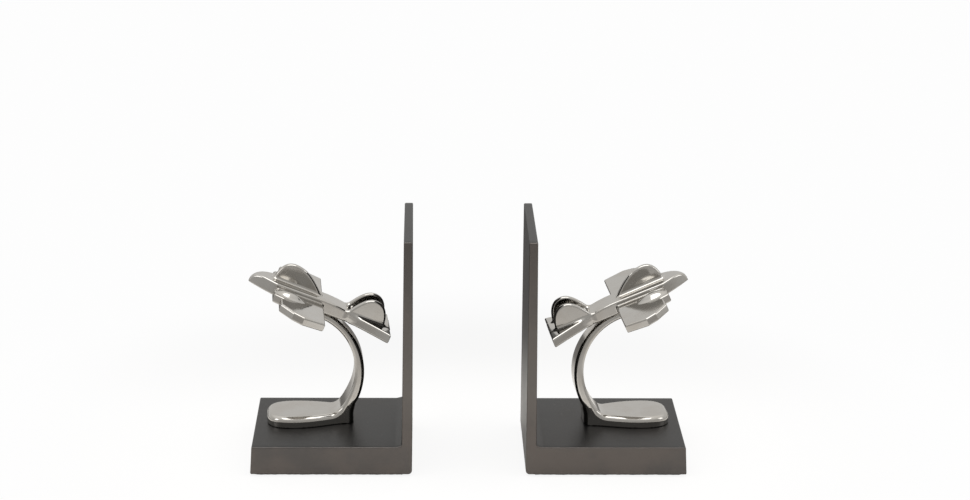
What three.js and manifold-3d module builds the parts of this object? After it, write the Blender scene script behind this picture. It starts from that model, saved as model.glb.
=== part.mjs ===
// A pair of book ends: on each, a polished aeroplane flies from a curved stem that stands on
// a heavy L-shaped base casting.
// Millimetres, +Z up, X along the shelf, +Y to the back. The origin is the bottom centre of
// the pair's bounding box.

import * as THREE from 'three';
import { mergeVertices } from 'three/addons/utils/BufferGeometryUtils.js';
import Module from 'manifold-3d';

const wasm = await Module();
wasm.setup();

// ---- driving dimensions ------------------------------------------------------------------

const gap = 0.3;              // between pieces that are screwed, glued or brazed together
const bookSpace = 84.5;       // between the two book faces as they stand

const felt = { thickness: 1.2, inset: 3 };

const base = {
  length: 120,                // along the shelf, book face to outer end
  depth: 105,
  height: 21.5,
  draft: 1.2,                 // the outer end leans in by this much
  heelRadius: 3,              // rounded corner under the book face
  wallHeight: 181.5,          // from the shelf to the top of the upright
  wallFoot: 7.7,              // upright's thickness where it leaves the base
  wallTip: 6.3,               // and at its top
  fillet: [9, 2.6],           // between the upright and the base's top: along, up
};

const casting = {             // the foot and stem, as they stand on the base
  reach: 80,                  // book face to the casting's own origin
  setback: 7,                 // towards the back from the middle of the base
  turn: 4,                    // degrees, anticlockwise from above
};

const foot = {
  thickness: 8,
  outerReach: 30.5,           // casting's origin to the round outer end
  heelReach: 36.3,            // casting's origin to the heel, under the stem
  halfWidth: 20.5,
  heelHalfWidth: 13,
  edge: 2.5,
  screwReach: [-14, 20],      // casting's origin to each screw
};

const stem = {
  radius: 51,                 // of the outer, convex side
  centre: [-7.9, 40.1],       // of that arc: along the foot, above its underside
  heelThickness: 8,
  topThickness: 5.6,
  footAngle: -22,             // degrees, where the inner arc turns into the foot's top
  filletRun: 8,               // length of that turn along the foot
  topHalfWidth: 5.5,
  tongue: 14,                 // straight seat under the aeroplane
};

const plane = {
  pitch: 23,                  // degrees, nose up
  trailing: 1.8,              // the wing's rear edge ahead of the end of the stem's arc
  nose: 58.5,                 // all lengths from the wing's rear edge, nose positive
  noseBase: 38.5,
  noseHalfWidth: 12.6,
  tail: 53.5,
  tailRoot: 22,
  tailHalfSpan: 25.3,
  bodyHalfWidth: 10.5,
  bodyHeight: 9.8,
  tipHeight: 2,
  crown: 13.5,                // length of the nose's rounded top
  tailHeight: 7.5,
  wingThickness: 6.5,
  rearHalfSpan: 55,           // half span along the wing's rear edge
  tipHalfSpan: 58.5,
  tipChord: 16.5,
  outerLobe: [34.5, 46],      // front corner of the wing's outer lobe: ahead, out
  innerLobe: [39.5, 29],      // and of its inner lobe
  notch: 1.8,                 // depth of the notch between two lobes
};

const fin = { thickness: 4.4, rear: 3.5, front: 41.5, crest: 29.5, height: 15 };
const tailFin = { thickness: 4, rear: -48.2, front: -18.5, crest: -36, height: 15.9, spread: 8.8 };
const pod = { halfLength: 8.5, halfWidth: 4.6, height: 3.2, ahead: 28, spread: 22 };

const footScrew = { radius: 2.5, headRadius: 4.25, headHeight: 5, socket: 2.3, grip: 5.6 };
const washer = { outerRadius: 5, innerRadius: 2.7, thickness: 1 };
const counterbore = { radius: 6, depth: 9 };
const stemScrew = { radius: 1.5, headRadius: 3, headHeight: 1.7, socket: 1.1, grip: 6, ahead: 5 };

// ---- finishes ----------------------------------------------------------------------------

const finish = {
  gunmetal: new THREE.MeshStandardMaterial({ color: 0x4d4a47, roughness: 0.45, metalness: 0.9 }),
  nickel: new THREE.MeshStandardMaterial({ color: 0xc4c1bb, roughness: 0.1, metalness: 1 }),
  steel: new THREE.MeshStandardMaterial({ color: 0x9b9b9b, roughness: 0.35, metalness: 1 }),
  felt: new THREE.MeshStandardMaterial({ color: 0x1c1c1e, roughness: 1, metalness: 0 }),
};

// ---- helpers -----------------------------------------------------------------------------

const radians = THREE.MathUtils.degToRad;
const roundSides = 32;
const curveSides = 14;
const sliver = 0.02;          // edges shorter than this are merged away where curved pieces meet

function solid(geometry) {
  const bare = geometry.clone();
  bare.deleteAttribute('normal');
  bare.deleteAttribute('uv');
  const merged = mergeVertices(bare, 1e-4);
  return new wasm.Manifold(new wasm.Mesh({
    numProp: 3,
    vertProperties: Float32Array.from(merged.attributes.position.array),
    triVerts: Uint32Array.from(merged.index.array),
  }));
}

function meshOf(name, body, material) {
  const { vertProperties, triVerts } = body.getMesh();
  const geometry = new THREE.BufferGeometry();
  geometry.setAttribute('position', new THREE.BufferAttribute(Float32Array.from(vertProperties), 3));
  geometry.setIndex(new THREE.BufferAttribute(Uint32Array.from(triVerts), 1));
  geometry.computeVertexNormals();
  const mesh = new THREE.Mesh(geometry, material);
  mesh.name = name;
  return mesh;
}

// An outline in X and Y, extruded upwards from a height.
function plate(outline, thickness, height = 0) {
  const geometry = new THREE.ExtrudeGeometry(outline, {
    depth: thickness, bevelEnabled: false, curveSegments: curveSides,
  });
  return geometry.translate(0, 0, height);
}

// An outline in X and Z, extruded to both sides of Y = middle.
function slice(outline, width, middle = 0) {
  const geometry = plate(outline, width, -width / 2);
  return geometry.rotateX(Math.PI / 2).translate(0, middle, 0);
}

// An outline in Y and Z, extruded to both sides of X = 0.
function crossPlate(outline, length) {
  const axes = new THREE.Matrix4().makeBasis(
    new THREE.Vector3(0, 1, 0), new THREE.Vector3(0, 0, 1), new THREE.Vector3(1, 0, 0));
  return plate(outline, length, -length / 2).applyMatrix4(axes);
}

function box(low, high) {
  const size = high.map((value, i) => value - low[i]);
  const middle = high.map((value, i) => (value + low[i]) / 2);
  return solid(new THREE.BoxGeometry(...size).translate(...middle));
}

// A cylinder or prism standing on z = from.
function post(radius, from, to, sides = roundSides) {
  const geometry = new THREE.CylinderGeometry(radius, radius, to - from, sides);
  return solid(geometry.rotateX(Math.PI / 2).translate(0, 0, (from + to) / 2));
}

function moved(body, matrix) {
  return body.transform(matrix.elements);
}

// Points of an outline and their mirror images in the X axis, as one closed shape.
function mirrored(points) {
  const back = points.slice().reverse().map(([x, y]) => [x, -y]);
  return new THREE.Shape([...points, ...back].map(([x, y]) => new THREE.Vector2(x, y)));
}

// ---- base casting and its felt -----------------------------------------------------------

const baseBottom = felt.thickness + gap;
const baseTop = baseBottom + base.height;

function baseOutline() {
  const [filletAlong, filletUp] = base.fillet;
  const shape = new THREE.Shape();
  shape.moveTo(-base.length, baseBottom);
  shape.lineTo(-base.heelRadius, baseBottom);
  shape.absarc(-base.heelRadius, baseBottom + base.heelRadius, base.heelRadius, -Math.PI / 2, 0);
  shape.lineTo(0, base.wallHeight);
  shape.lineTo(-base.wallTip, base.wallHeight);
  shape.lineTo(-base.wallFoot, baseTop + filletUp);
  shape.quadraticCurveTo(-base.wallFoot, baseTop, -base.wallFoot - filletAlong, baseTop);
  shape.lineTo(-base.length + base.draft, baseTop);
  return shape;
}

function makeBase(holes) {
  return solid(slice(baseOutline(), base.depth)).subtract(holes);
}

function makeFelt() {
  const low = [-base.length + felt.inset, -base.depth / 2 + felt.inset, 0];
  const high = [-base.heelRadius - felt.inset, base.depth / 2 - felt.inset, felt.thickness];
  return box(low, high);
}

// ---- foot and stem -----------------------------------------------------------------------

const seat = {                // directions of the seat under the aeroplane, in X and Z
  ahead: [-Math.cos(radians(plane.pitch)), Math.sin(radians(plane.pitch))],
  up: [Math.sin(radians(plane.pitch)), Math.cos(radians(plane.pitch))],
};
const seatAngle = Math.PI / 2 - radians(plane.pitch);
const innerRadius = stem.radius - stem.heelThickness;
const innerShift = stem.heelThickness - stem.topThickness;

function along(point, direction, distance) {
  return [point[0] + direction[0] * distance, point[1] + direction[1] * distance];
}

const innerCentre = along(stem.centre, seat.up, innerShift);
const arcEnd = along(stem.centre, seat.up, stem.radius);

function footOutline() {
  const { outerReach, heelReach, halfWidth, heelHalfWidth } = foot;
  const widest = -outerReach / 3;
  const flat = halfWidth / 5;
  const shape = new THREE.Shape();
  shape.moveTo(heelReach, -heelHalfWidth);
  shape.lineTo(heelReach, heelHalfWidth);
  shape.bezierCurveTo(heelReach / 2, heelHalfWidth, heelReach / 4, halfWidth, widest, halfWidth);
  shape.bezierCurveTo(-outerReach * 0.75, halfWidth, -outerReach, halfWidth * 0.75, -outerReach, flat);
  shape.lineTo(-outerReach, -flat);
  shape.bezierCurveTo(-outerReach, -halfWidth * 0.75, -outerReach * 0.75, -halfWidth, widest, -halfWidth);
  shape.bezierCurveTo(heelReach / 4, -halfWidth, heelReach / 2, -heelHalfWidth, heelReach, -heelHalfWidth);
  return shape;
}

// The side view of the stem: heel, outer arc, straight seat, inner arc, turn into the foot.
function stemOutline() {
  const rootHeight = foot.thickness / 2;
  const heelAngle = -Math.acos((foot.heelReach - stem.centre[0]) / stem.radius);
  const footAngle = radians(stem.footAngle);
  const innerEnd = [
    innerCentre[0] + innerRadius * Math.cos(footAngle),
    innerCentre[1] + innerRadius * Math.sin(footAngle),
  ];
  const corner = innerEnd[0] + Math.tan(footAngle) * (innerEnd[1] - foot.thickness);
  const tip = along(arcEnd, seat.ahead, stem.tongue);
  const tipBelow = along(tip, seat.up, -stem.topThickness);
  const shape = new THREE.Shape();
  shape.moveTo(foot.heelReach, rootHeight);
  shape.absarc(...stem.centre, stem.radius, heelAngle, seatAngle, false);
  shape.lineTo(...tip);
  shape.lineTo(...tipBelow);
  shape.absarc(...innerCentre, innerRadius, seatAngle, footAngle, true);
  shape.quadraticCurveTo(corner, foot.thickness, corner - stem.filletRun, foot.thickness);
  shape.lineTo(corner - stem.filletRun, rootHeight);
  return shape;
}

// The front view that the stem is cut to: parallel at the heel, then narrowing to the top.
function stemFront() {
  const top = arcEnd[1] + stem.tongue;
  const straight = foot.thickness * 1.8;
  return new THREE.Shape([
    new THREE.Vector2(-foot.heelHalfWidth, 0),
    new THREE.Vector2(foot.heelHalfWidth, 0),
    new THREE.Vector2(foot.heelHalfWidth, straight),
    new THREE.Vector2(stem.topHalfWidth, top),
    new THREE.Vector2(-stem.topHalfWidth, top),
    new THREE.Vector2(-foot.heelHalfWidth, straight),
  ]);
}

function makeFootAndStem(topHole) {
  const reach = foot.outerReach + foot.heelReach + stem.radius;
  const slab = new THREE.ExtrudeGeometry(footOutline(), {
    depth: foot.thickness + foot.edge, curveSegments: curveSides, bevelSegments: 2,
    bevelThickness: foot.edge, bevelSize: foot.edge, bevelOffset: -foot.edge,
  }).translate(0, 0, -2 * foot.edge);
  const below = box([-reach, -reach, -4 * foot.edge], [reach, reach, 0]);
  const ribbon = solid(slice(stemOutline(), 2 * foot.heelHalfWidth));
  const front = solid(crossPlate(stemFront(), 4 * reach));
  let body = solid(slab).add(ribbon.intersect(front)).subtract(below).subtract(topHole);
  for (const x of foot.screwReach) {
    const tapped = post(footScrew.radius + gap, -1, footScrew.grip + gap);
    body = body.subtract(tapped.translate(x, 0, 0));
  }
  return body.simplify(sliver);
}

// ---- screws and washers ------------------------------------------------------------------

// Heights below are from the foot's underside, downwards into the base.
const washerTop = -gap - (base.height - counterbore.depth) - gap;
const headTop = washerTop - washer.thickness - gap;

function makeFootScrew() {
  const { radius, headRadius, headHeight, socket, grip } = footScrew;
  const head = post(headRadius, headTop - headHeight, headTop);
  const drive = post(socket, headTop - headHeight - 1, headTop - headHeight / 2, 6);
  return head.add(post(radius, headTop - gap, grip)).subtract(drive);
}

function makeWasher() {
  const ring = post(washer.outerRadius, washerTop - washer.thickness, washerTop);
  return ring.subtract(post(washer.innerRadius, washerTop - 2 * washer.thickness, washerTop + 1));
}

// The holes in the base for one foot screw, in the casting's frame.
function screwHole(x) {
  const bottom = -gap - base.height;
  const shank = post(footScrew.radius + gap, bottom - 1, 1);
  const pocket = post(counterbore.radius, bottom - 1, bottom + counterbore.depth);
  return shank.add(pocket).translate(x, 0, 0);
}

// The screw that holds the aeroplane, in the aeroplane's frame, grown by a clearance.
function stemScrewBody(clearance) {
  const { radius, headRadius, headHeight, grip } = stemScrew;
  const low = -gap - stem.topThickness;
  const profile = [
    [0, low + gap - clearance], [headRadius + clearance, low + gap - clearance],
    [headRadius + clearance, low + gap + clearance], [radius + clearance, low + gap + headHeight],
    [radius + clearance, grip + clearance], [0, grip + clearance],
  ].map(([x, y]) => new THREE.Vector2(x, y));
  const turned = new THREE.LatheGeometry(profile, roundSides).rotateX(Math.PI / 2);
  return solid(turned.translate(stemScrew.ahead, 0, 0));
}

function makeStemScrew() {
  const low = -stem.topThickness;
  const drive = post(stemScrew.socket, low - 1, low + stemScrew.headHeight, 6);
  return stemScrewBody(0).subtract(drive.translate(stemScrew.ahead, 0, 0));
}

// ---- aeroplane, in its own frame: +X to the nose, +Y to port -------------------------------

function bodyPlan() {
  const { nose, noseBase, noseHalfWidth, bodyHalfWidth, tail } = plane;
  const bow = new THREE.QuadraticBezierCurve(
    new THREE.Vector2(noseBase, noseHalfWidth),
    new THREE.Vector2((noseBase + nose) / 2 + 2, noseHalfWidth / 2 + 1),
    new THREE.Vector2(nose, 1));
  const bowPoints = bow.getPoints(6).map(({ x, y }) => [x, y]);
  return mirrored([[-tail, bodyHalfWidth], [0, bodyHalfWidth], ...bowPoints]);
}

function bodySide() {
  const { nose, crown, tipHeight, bodyHeight, tail, tailRoot, tailHeight } = plane;
  const shape = new THREE.Shape();
  shape.moveTo(-tail, 0);
  shape.lineTo(nose, 0);
  shape.lineTo(nose, tipHeight);
  shape.bezierCurveTo(
    nose - crown * 0.08, bodyHeight * 0.75, nose - crown * 0.4, bodyHeight,
    nose - crown, bodyHeight);
  shape.lineTo(0, bodyHeight);
  shape.quadraticCurveTo(-tailRoot / 2, bodyHeight, -tailRoot, tailHeight);
  shape.lineTo(-tail, tailHeight);
  return shape;
}

// One wing from above: rear edge, flared tip, swept lead, outer lobe, inner lobe, root.
function wingPlan(side) {
  const [outerAhead, outerOut] = plane.outerLobe;
  const [innerAhead, innerOut] = plane.innerLobe;
  const root = plane.noseHalfWidth / 2;
  const shape = new THREE.Shape();
  shape.moveTo(0, side * root);
  shape.lineTo(0, side * plane.rearHalfSpan);
  shape.lineTo(plane.tipChord, side * plane.tipHalfSpan);
  shape.quadraticCurveTo(
    plane.tipChord + (outerAhead - plane.tipChord) / 2, side * plane.tipHalfSpan * 0.95,
    outerAhead, side * outerOut);
  shape.lineTo(outerAhead, side * (innerOut + 2 * plane.notch));
  shape.lineTo(outerAhead - plane.notch, side * (innerOut + plane.notch));
  shape.lineTo(innerAhead, side * innerOut);
  shape.lineTo(innerAhead, side * (plane.noseHalfWidth + 2 * plane.notch));
  shape.lineTo(innerAhead - plane.notch, side * (plane.noseHalfWidth + plane.notch));
  shape.lineTo(innerAhead - plane.notch, side * root);
  return shape;
}

function tailPlan() {
  const { tail, tailRoot, tailHalfSpan, bodyHalfWidth } = plane;
  const flare = new THREE.QuadraticBezierCurve(
    new THREE.Vector2(-tail, tailHalfSpan),
    new THREE.Vector2(-(tail + tailRoot) / 2, (tailHalfSpan + bodyHalfWidth) / 2 - 1),
    new THREE.Vector2(-tailRoot, bodyHalfWidth));
  return mirrored(flare.getPoints(8).map(({ x, y }) => [x, y]));
}

function makeAeroplaneBody() {
  const span = 4 * plane.tipHalfSpan;
  let body = solid(plate(bodyPlan(), 2 * plane.bodyHeight)).intersect(solid(slice(bodySide(), span)));
  body = body.add(solid(plate(tailPlan(), plane.tailHeight)));
  for (const side of [-1, 1]) {
    body = body.add(solid(plate(wingPlan(side), plane.wingThickness)));
  }
  return body.subtract(stemScrewBody(gap)).simplify(sliver);
}

// A fin's side view: long slope up from one end of its base to a crest, short slope down.
function finOutline(from, to, crest, bottom, height) {
  const top = bottom + height;
  const shape = new THREE.Shape();
  shape.moveTo(from, bottom);
  shape.bezierCurveTo(
    from + (crest - from) * 0.37, bottom + height * 0.65,
    from + (crest - from) * 0.63, top, crest, top);
  shape.bezierCurveTo(
    crest + (to - crest) * 0.58, top,
    crest + (to - crest) * 0.92, bottom + height * 0.62, to, bottom);
  return shape;
}

function makeCentreFin() {
  const bottom = plane.bodyHeight + gap;
  return solid(slice(finOutline(fin.rear, fin.front, fin.crest, bottom, fin.height), fin.thickness));
}

function makeTailFin(side) {
  const bottom = plane.tailHeight + gap;
  const rootHeight = plane.bodyHeight + gap;
  const outline = finOutline(tailFin.front, tailFin.rear, tailFin.crest, bottom, tailFin.height);
  const blade = solid(slice(outline, tailFin.thickness, side * tailFin.spread));
  const reach = 2 * plane.tail;
  const shoulder = new THREE.Shape([
    new THREE.Vector2(-plane.tailRoot, bottom), new THREE.Vector2(-plane.tailRoot, 0),
    new THREE.Vector2(0, 0), new THREE.Vector2(0, rootHeight),
    new THREE.Vector2(-plane.tailRoot / 2, rootHeight),
  ]);
  return blade.subtract(solid(slice(shoulder, reach))).simplify(sliver);
}

function makePod(side) {
  const { halfLength, halfWidth, height, ahead, spread } = pod;
  const bottom = plane.wingThickness + gap;
  const egg = new THREE.SphereGeometry(1, 24, 16).scale(halfLength, halfWidth, height);
  egg.translate(ahead, side * spread, bottom);
  const below = box([-plane.nose, -plane.tipHalfSpan, -height], [plane.nose, plane.tipHalfSpan, bottom]);
  return solid(egg).subtract(below);
}

// ---- one book end: book face at x = 0, base towards -X -----------------------------------

function makeBookEnd(name, backwards) {
  const end = new THREE.Group();
  const stand = new THREE.Group();
  stand.position.set(-casting.reach, backwards * casting.setback, baseTop + gap);
  stand.rotation.z = radians(casting.turn);
  end.add(stand);

  const flight = new THREE.Group();
  const origin = along(along(arcEnd, seat.up, gap), seat.ahead, plane.trailing);
  flight.position.set(origin[0], 0, origin[1]);
  flight.rotation.set(0, -radians(plane.pitch), Math.PI, 'ZYX');
  stand.add(flight);
  stand.updateMatrix();
  flight.updateMatrix();

  const [nearHole, farHole] = foot.screwReach.map((x) => moved(screwHole(x), stand.matrix));
  end.add(meshOf(`${name}_base_casting`, makeBase(nearHole.add(farHole)), finish.gunmetal));
  end.add(meshOf(`${name}_base_felt`, makeFelt(), finish.felt));

  const topHole = moved(stemScrewBody(gap), flight.matrix);
  stand.add(meshOf(`${name}_foot_and_stem`, makeFootAndStem(topHole), finish.nickel));
  foot.screwReach.forEach((x, i) => {
    const place = i === 0 ? 'outer' : 'inner';
    const screw = makeFootScrew().translate(x, 0, 0);
    stand.add(meshOf(`${name}_foot_screw_${place}`, screw, finish.steel));
    stand.add(meshOf(`${name}_foot_washer_${place}`, makeWasher().translate(x, 0, 0), finish.steel));
  });

  flight.add(meshOf(`${name}_stem_screw`, makeStemScrew(), finish.steel));
  flight.add(meshOf(`${name}_aeroplane_body`, makeAeroplaneBody(), finish.nickel));
  flight.add(meshOf(`${name}_centre_fin`, makeCentreFin(), finish.nickel));
  for (const [sideName, side] of [['port', 1], ['starboard', -1]]) {
    flight.add(meshOf(`${name}_tail_fin_${sideName}`, makeTailFin(side), finish.nickel));
    flight.add(meshOf(`${name}_engine_pod_${sideName}`, makePod(side), finish.nickel));
  }
  return end;
}

// ---- the pair ----------------------------------------------------------------------------

const pair = new THREE.Group();
const left = makeBookEnd('left', 1);
left.position.x = -bookSpace / 2;
const right = makeBookEnd('right', -1);
right.position.x = bookSpace / 2;
right.rotation.z = Math.PI;
pair.add(left, right);

const middle = new THREE.Box3().setFromObject(pair, true).getCenter(new THREE.Vector3());
pair.position.set(-middle.x, -middle.y, 0);

export default pair;
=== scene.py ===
import logging
from dataclasses import dataclass, field
from enum import Enum
from typing import Callable

import bpy
import numpy as np
from mathutils import Matrix, Vector


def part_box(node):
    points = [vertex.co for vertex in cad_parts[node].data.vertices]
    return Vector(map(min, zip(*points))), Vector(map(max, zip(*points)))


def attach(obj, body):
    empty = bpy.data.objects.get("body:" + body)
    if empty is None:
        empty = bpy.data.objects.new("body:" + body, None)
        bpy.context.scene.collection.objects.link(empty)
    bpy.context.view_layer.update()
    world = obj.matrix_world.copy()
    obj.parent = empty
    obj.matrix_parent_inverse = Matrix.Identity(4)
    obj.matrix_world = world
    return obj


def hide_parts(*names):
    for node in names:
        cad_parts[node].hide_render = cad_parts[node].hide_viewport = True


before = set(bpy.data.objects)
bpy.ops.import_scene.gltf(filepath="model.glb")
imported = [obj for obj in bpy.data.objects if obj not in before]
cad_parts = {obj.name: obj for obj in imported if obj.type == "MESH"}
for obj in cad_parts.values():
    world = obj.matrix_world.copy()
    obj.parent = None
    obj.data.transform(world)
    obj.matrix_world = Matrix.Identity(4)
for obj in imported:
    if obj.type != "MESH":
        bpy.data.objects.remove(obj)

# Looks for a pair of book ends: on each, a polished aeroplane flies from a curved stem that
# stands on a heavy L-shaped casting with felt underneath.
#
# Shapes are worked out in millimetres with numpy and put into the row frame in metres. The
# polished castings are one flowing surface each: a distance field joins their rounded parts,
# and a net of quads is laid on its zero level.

LOG = logging.getLogger("book_ends")
MM = 0.001
GAP = 0.3  # clearance between pieces that touch, in millimetres
PAST = -12.0  # half outlines are carried this far past their middle line, in millimetres
CHUNK = 6000  # points measured against an outline at a time

Array = np.ndarray
Field = Callable[[Array, Array, Array], Array]


class Side(Enum):
    """Which book end: its body in the frame and the way its book face looks along X."""

    LEFT = "left"
    RIGHT = "right"

    @property
    def facing(self) -> int:
        """+1 where the book face looks along +X."""
        return 1 if self is Side.LEFT else -1

    @property
    def body(self) -> str:
        """Name of the CAD body that the pieces ride on."""
        return f"{self.value}_book_end"


class Slot(Enum):
    """Material slots of the record."""

    GUNMETAL = "gunmetal_casting"
    NICKEL = "polished_nickel"
    STEEL = "steel"
    FELT = "felt"


# ---- distance fields ---------------------------------------------------------------------


def bezier(points: list[tuple[float, float]], steps: int = 40) -> Array:
    """Points along a Bezier curve of any degree, by repeated blending of its controls.

    Args:
        points: The control points.
        steps: How many points to return, both ends included.

    Returns:
        Array of shape (steps, 2).
    """
    t = np.linspace(0.0, 1.0, steps)[:, None, None]
    level = np.broadcast_to(np.array(points, float), (steps, len(points), 2))
    while level.shape[1] > 1:
        level = level[:, :-1] * (1 - t) + level[:, 1:] * t
    return level[:, 0]


def arc(centre: tuple[float, float], radius: float, start: float, end: float, steps: int) -> Array:
    """Points on a circle: the centre plus the radius times (cosine, sine) of an even sweep.

    Args:
        centre: The circle's centre.
        radius: Its radius.
        start: First angle in radians.
        end: Last angle in radians.
        steps: How many points to return.

    Returns:
        Array of shape (steps, 2).
    """
    angle = np.linspace(start, end, steps)
    return np.stack((centre[0] + radius * np.cos(angle), centre[1] + radius * np.sin(angle)), 1)


class Outline:
    """A closed outline in a plane, with its signed distance."""

    def __init__(self, *runs: Array | list[tuple[float, float]]) -> None:
        """Joins runs of points into one closed outline, without repeated points."""
        points = np.vstack([np.array(run, float).reshape(-1, 2) for run in runs])
        step = np.linalg.norm(points - np.roll(points, 1, 0), axis=1)
        self.points = points[step > 1e-4]
        self.edges = np.roll(self.points, -1, 0) - self.points
        self.squares = (self.edges**2).sum(1)

    def distance(self, u: Array, v: Array) -> Array:
        """Distance to the nearest edge, negative inside, where a ray crosses an odd number of edges.

        Args:
            u: First coordinates.
            v: Second coordinates, of the same shape.

        Returns:
            Signed distances of that shape.
        """
        where = np.stack((u.ravel(), v.ravel()), 1)
        found = np.empty(len(where))
        low = self.points[:, 1]
        high = low + self.edges[:, 1]
        rise = np.where(np.abs(self.edges[:, 1]) < 1e-12, 1e-12, self.edges[:, 1])
        for first in range(0, len(where), CHUNK):
            part = where[first : first + CHUNK]
            du = part[:, :1] - self.points[:, 0]
            dv = part[:, 1:] - self.points[:, 1]
            share = np.clip((du * self.edges[:, 0] + dv * self.edges[:, 1]) / self.squares, 0, 1)
            near = (du - share * self.edges[:, 0]) ** 2 + (dv - share * self.edges[:, 1]) ** 2
            spans = (low <= part[:, 1:]) != (high <= part[:, 1:])
            crosses = spans & (du < dv / rise * self.edges[:, 0])
            sign = np.where(crosses.sum(1) % 2 == 1, -1.0, 1.0)
            found[first : first + CHUNK] = sign * np.sqrt(near.min(1))
        return found.reshape(u.shape)


def rounded_meet(a: Array, b: Array, radius: float) -> Array:
    """Where two fields overlap, with the edge between them rounded: both grow by the radius, their
    outer parts add as the sides of a right triangle, and the radius is taken off again."""
    a, b = a + radius, b + radius
    outside = np.hypot(np.maximum(a, 0), np.maximum(b, 0))
    return np.minimum(np.maximum(a, b), 0) + outside - radius


def filleted_join(a: Array, b: Array, radius: float) -> Array:
    """Either field, with a round fillet in the corner between them: the rounded meeting of the two,
    turned inside out."""
    return -rounded_meet(-a, -b, radius)


def slab(height: Array, low: float, high: float) -> Array:
    """Distance to the layer between two heights: how far from its middle, less half its depth."""
    return np.abs(height - (low + high) / 2) - (high - low) / 2


def surface_net(field_of: Field, low: Array, high: Array, step: float) -> tuple[Array, Array, Array]:
    """A net of quads on the zero level of a field.

    A cell that the surface passes through gets one vertex, at the mean of the points where its
    twelve edges cross zero. Each grid edge that crosses zero gets one quad through the four cells
    round it. Two Newton steps, along the field's own slope, then bring every vertex onto the
    surface, and the slope there is its normal.

    Args:
        field_of: The signed distance at x, y and z.
        low: Lowest corner of the grid.
        high: Highest corner.
        step: Size of a cell.

    Returns:
        Vertices (n, 3), quads (m, 4) that face outwards, and normals (n, 3).
    """
    axes = [np.arange(a - 1.5 * step, b + 2.5 * step, step) for a, b in zip(low, high)]
    x, y, z = axes
    values = field_of(x[:, None, None], y[None, :, None], z[None, None, :])
    shape = np.array(values.shape)
    cells = tuple(shape - 1)
    total, count = np.zeros((*cells, 3)), np.zeros(cells)
    grid = {}
    for axis in range(3):
        others = [k for k in range(3) if k != axis]
        start = [slice(None)] * 3
        stop = [slice(None)] * 3
        start[axis], stop[axis] = slice(0, -1), slice(1, None)
        a, b = values[tuple(start)], values[tuple(stop)]
        crossing = (a < 0) != (b < 0)
        share = np.where(crossing, a / np.where(crossing, a - b, 1.0), 0.0)
        grid[axis] = (crossing, a < 0)
        for one in (0, 1):
            for two in (0, 1):
                pick = [slice(None)] * 3
                pick[others[0]] = slice(one, one + cells[others[0]])
                pick[others[1]] = slice(two, two + cells[others[1]])
                here = crossing[tuple(pick)]
                count += here
                total[..., axis] += share[tuple(pick)] * here
                total[..., others[0]] += one * here
                total[..., others[1]] += two * here
    held = count > 0
    number = np.full(cells, -1)
    number[held] = np.arange(held.sum())
    corner = np.argwhere(held)
    origin = np.array([axis[0] for axis in axes])
    points = origin + step * (corner + total[held] / count[held][:, None])

    quads = []
    for axis in range(3):
        crossing, first_inside = grid[axis]
        u, v = (axis + 1) % 3, (axis + 2) % 3
        at = np.argwhere(crossing)
        at = at[(at[:, u] > 0) & (at[:, v] > 0) & (at[:, u] < cells[u]) & (at[:, v] < cells[v])]
        back_u, back_v = np.eye(3, dtype=int)[u], np.eye(3, dtype=int)[v]
        ring = [at - back_u - back_v, at - back_v, at, at - back_u]
        quad = np.stack([number[tuple(r.T)] for r in ring], 1)
        inside = first_inside[tuple(at.T)]
        quad[~inside] = quad[~inside][:, ::-1]
        quads.append(quad)

    def slope(p: Array) -> tuple[Array, Array]:
        """Value of the field at each point, and its slope from three points close by."""
        reach = step * 0.02
        value = field_of(*p.T)
        grown = [field_of(*(p + reach * e).T) - value for e in np.eye(3)]
        return value, np.stack(grown, 1) / reach

    value, rise = slope(points)
    for again in (True, False):
        share = value / np.maximum((rise**2).sum(1), 0.25)
        points = points - np.clip(rise * share[:, None], -step, step)
        value = field_of(*points.T) if again else value
    rise = slope(points)[1]
    normals = rise / np.maximum(np.linalg.norm(rise, axis=1), 1e-9)[:, None]
    return points, np.vstack(quads), normals


def make_piece(
    name: str, points: Array, faces: Array | list, normals: Array | None = None
) -> bpy.types.Object:
    """A mesh object at the origin, from points in metres.

    Args:
        name: The piece's name.
        points: Vertices in the row frame, in metres.
        faces: Quads as an array, or faces of any size as a list.
        normals: One outward direction for each vertex, or None to let smooth shading find them.

    Returns:
        The object, linked into the scene.
    """
    mesh = bpy.data.meshes.new(name)
    rows = faces.tolist() if isinstance(faces, np.ndarray) else faces
    mesh.from_pydata(points.tolist(), [], rows)
    mesh.polygons.foreach_set("use_smooth", np.ones(len(mesh.polygons), bool))
    mesh.update()
    if normals is not None:
        mesh.normals_split_custom_set_from_vertices(normals.tolist())
    piece = bpy.data.objects.new(name, mesh)
    bpy.context.scene.collection.objects.link(piece)
    return piece


# ---- shader helpers ----------------------------------------------------------------------


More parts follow.
